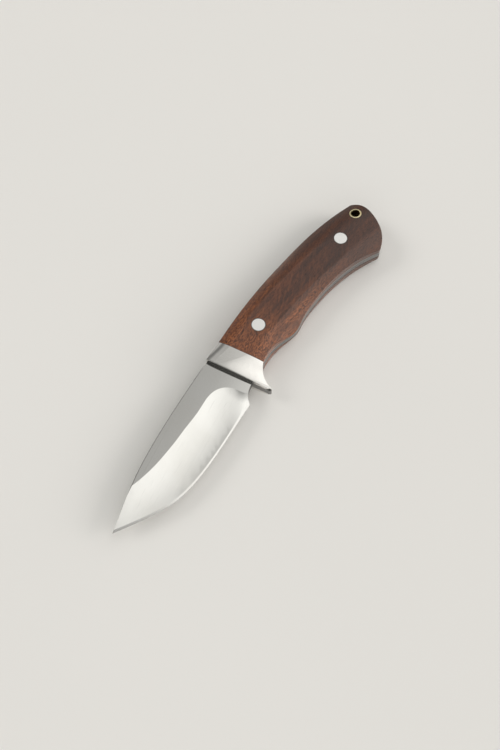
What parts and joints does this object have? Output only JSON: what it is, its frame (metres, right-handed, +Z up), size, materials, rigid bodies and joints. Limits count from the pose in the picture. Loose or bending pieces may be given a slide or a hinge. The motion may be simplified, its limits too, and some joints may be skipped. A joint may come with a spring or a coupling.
{
  "type": "full-tang hunting knife",
  "caption": "Fixed-blade drop-point hunting knife with a hollow-ground blade, polished bolsters with a small guard, pinned wooden scales and a lanyard tube.",
  "frame": {"origin": "centre of the footprint, at the surface that the knife lies on", "axes": "+X along the knife toward the butt with the tip toward -X, +Y toward the spine with the cutting edge toward -Y, +Z up through the left side of the knife"},
  "size_m": [0.211, 0.046, 0.015],
  "materials": {
    "blade_steel": "mirror polished stainless steel",
    "bolster_metal": "polished nickel silver or stainless steel",
    "bolster_pin_metal": "peened and polished flush with the bolster",
    "scale_wood": "oiled and buffed reddish brown hardwood",
    "handle_pin_metal": "satin, ground flush with the wood",
    "tube_brass": "polished rim, dull bore"
  },
  "bodies": {
    "root": {"blade_and_tang": "blade_steel", "bolster_left": "bolster_metal", "bolster_right": "bolster_metal", "bolster_pins": "bolster_pin_metal", "scale_left": "scale_wood", "scale_right": "scale_wood", "handle_pin_front": "handle_pin_metal", "handle_pin_rear": "handle_pin_metal", "lanyard_tube": "tube_brass"}
  },
  "joints": []
}
